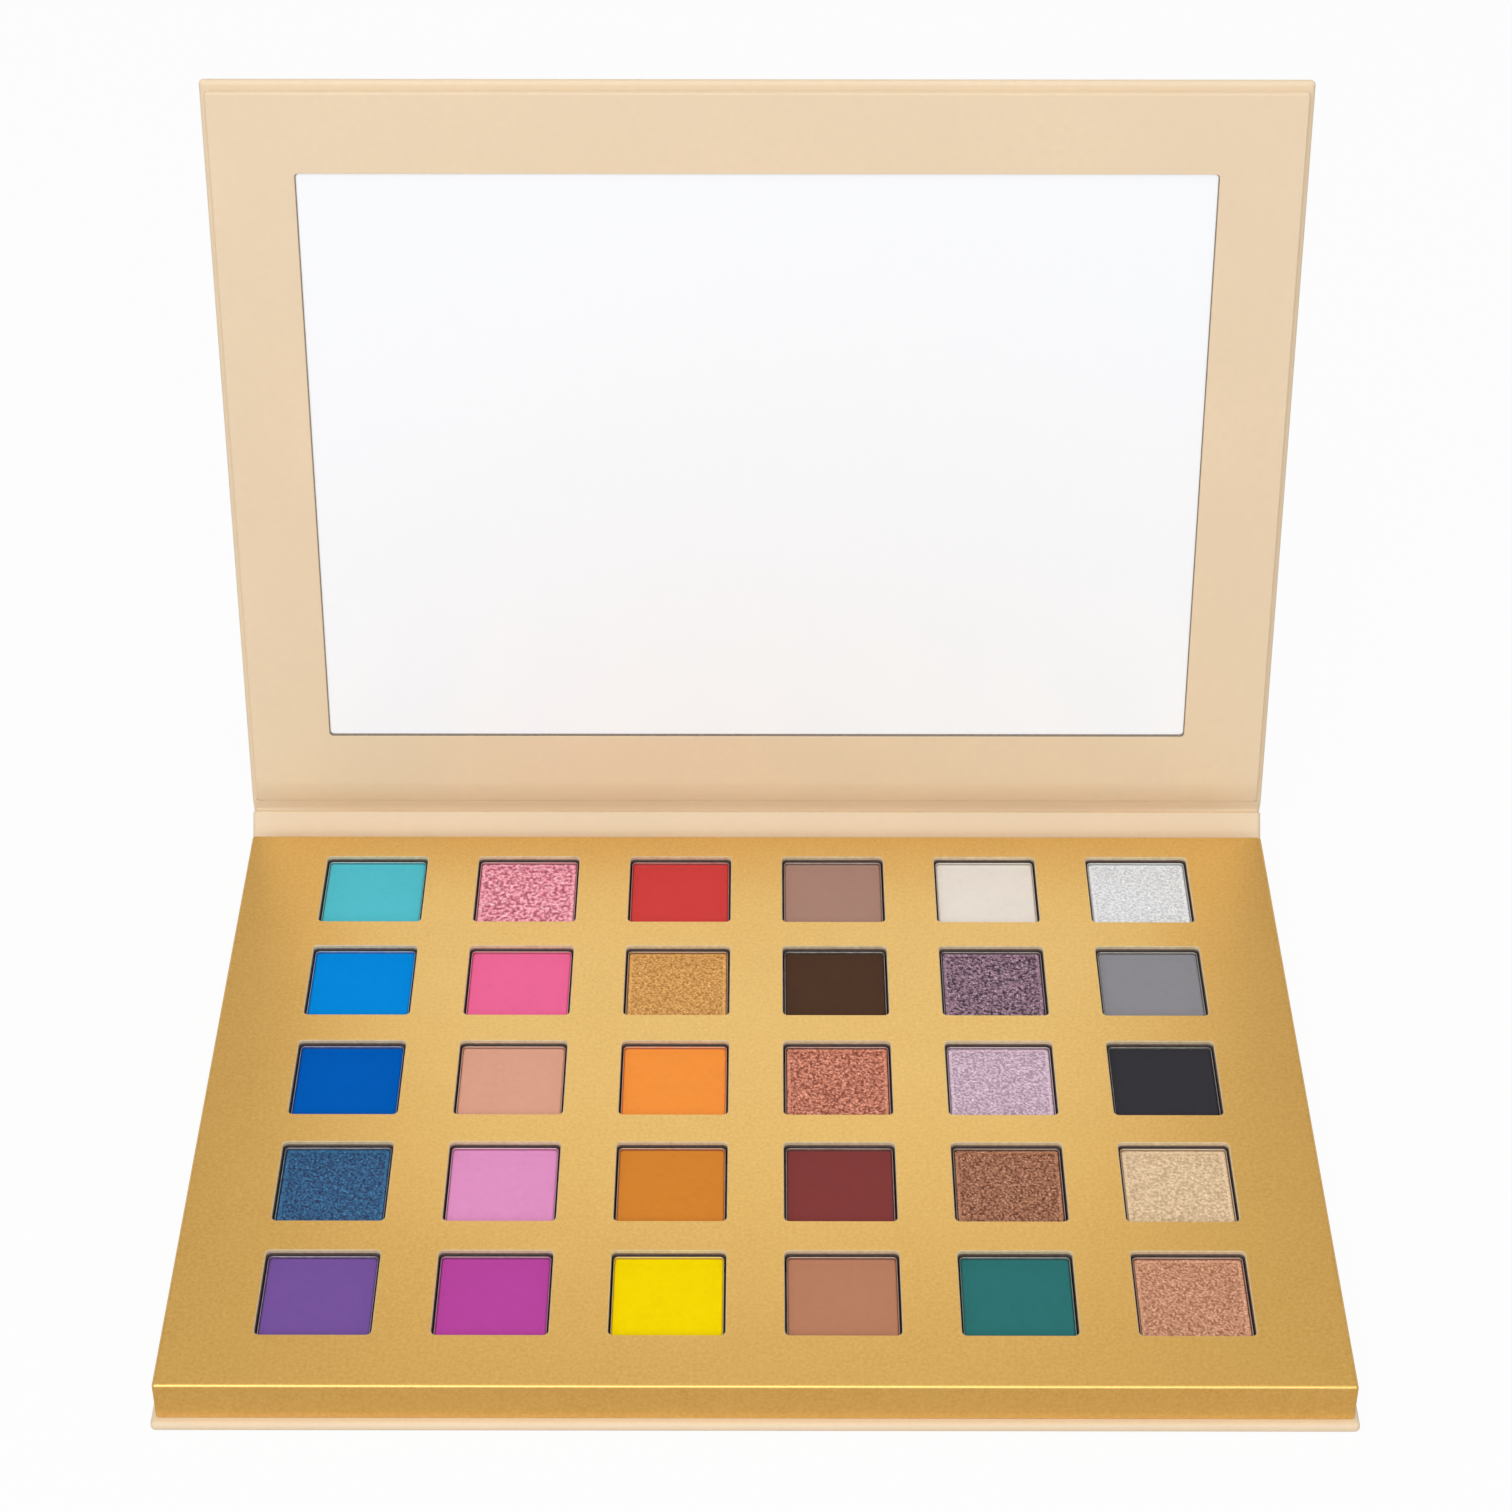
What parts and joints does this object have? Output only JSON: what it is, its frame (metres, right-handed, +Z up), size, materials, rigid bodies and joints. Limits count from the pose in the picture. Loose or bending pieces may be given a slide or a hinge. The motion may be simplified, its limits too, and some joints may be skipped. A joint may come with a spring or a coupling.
{
  "type": "eyeshadow palette",
  "caption": "Book-style eyeshadow palette standing open: paper-wrapped case with a folding spine, mirrored lid and a gold card tray of square pressed-powder pans.",
  "frame": {"origin": "centre of the base panel's underside", "axes": "+Z up, +X to the right along the hinge, +Y to the spine, so the front edge faces -Y"},
  "size_m": [0.232, 0.2089, 0.1817],
  "materials": {
    "cream_paper": "satin",
    "grey_board": "matte",
    "gold_card": "satin",
    "black_foam": "matte",
    "mirror": "polished",
    "white_tape": "matte",
    "magnet": "satin",
    "powder_turquoise": "matte",
    "powder_candy_pink": "satin",
    "powder_red": "matte",
    "powder_taupe": "matte",
    "powder_ivory": "matte",
    "powder_silver": "satin",
    "powder_azure": "matte",
    "powder_hot_pink": "matte",
    "powder_gold": "satin",
    "powder_espresso": "matte",
    "powder_plum": "satin",
    "powder_grey": "matte",
    "powder_royal_blue": "matte",
    "powder_peach": "matte",
    "powder_orange": "matte",
    "powder_copper": "satin",
    "powder_lilac": "satin",
    "powder_charcoal": "matte",
    "powder_navy": "satin",
    "powder_orchid": "matte",
    "powder_ochre": "matte",
    "powder_burgundy": "matte",
    "powder_bronze": "satin",
    "powder_champagne": "satin",
    "powder_violet": "matte",
    "powder_magenta": "matte",
    "powder_yellow": "matte",
    "powder_tan": "matte",
    "powder_teal": "matte",
    "powder_rose_gold": "satin"
  },
  "bodies": {
    "base": {"base_board": "grey_board", "base_wrap": "cream_paper", "tray_floor": "grey_board", "pan_grid": "black_foam", "tray_cover": "gold_card", "tray_magnet_left": "magnet", "tray_magnet_right": "magnet", "pan_turquoise": "powder_turquoise", "pan_candy_pink": "powder_candy_pink", "pan_red": "powder_red", "pan_taupe": "powder_taupe", "pan_ivory": "powder_ivory", "pan_silver": "powder_silver", "pan_azure": "powder_azure", "pan_hot_pink": "powder_hot_pink", "pan_gold": "powder_gold", "pan_espresso": "powder_espresso", "pan_plum": "powder_plum", "pan_grey": "powder_grey", "pan_royal_blue": "powder_royal_blue", "pan_peach": "powder_peach", "pan_orange": "powder_orange", "pan_copper": "powder_copper", "pan_lilac": "powder_lilac", "pan_charcoal": "powder_charcoal", "pan_navy": "powder_navy", "pan_orchid": "powder_orchid", "pan_ochre": "powder_ochre", "pan_burgundy": "powder_burgundy", "pan_bronze": "powder_bronze", "pan_champagne": "powder_champagne", "pan_violet": "powder_violet", "pan_magenta": "powder_magenta", "pan_yellow": "powder_yellow", "pan_tan": "powder_tan", "pan_teal": "powder_teal", "pan_rose_gold": "powder_rose_gold"},
    "spine": {"spine_board": "grey_board", "spine_wrap": "cream_paper", "spine_liner": "cream_paper", "base_fold_paper": "cream_paper", "lid_fold_paper": "cream_paper"},
    "lid": {"lid_board": "grey_board", "lid_wrap": "cream_paper", "lid_liner": "cream_paper", "mirror": "mirror", "mirror_tape": "white_tape", "mirror_frame": "grey_board", "lid_magnet_left": "magnet", "lid_magnet_right": "magnet"}
  },
  "joints": [
    {"name": "spine_fold", "type": "hinge", "parent": "base", "child": "spine", "pos_m": [0, 0.0869, 0.0011], "axis": [-1, 0, 0], "range_deg": [-40, 50], "deforming": ["base_fold_paper"]},
    {"name": "lid_fold", "type": "hinge", "parent": "spine", "child": "lid", "pos_m": [0, 0.09538, 0.01121], "axis": [-1, 0, 0], "range_deg": [-59, 31], "deforming": ["lid_fold_paper"]}
  ]
}
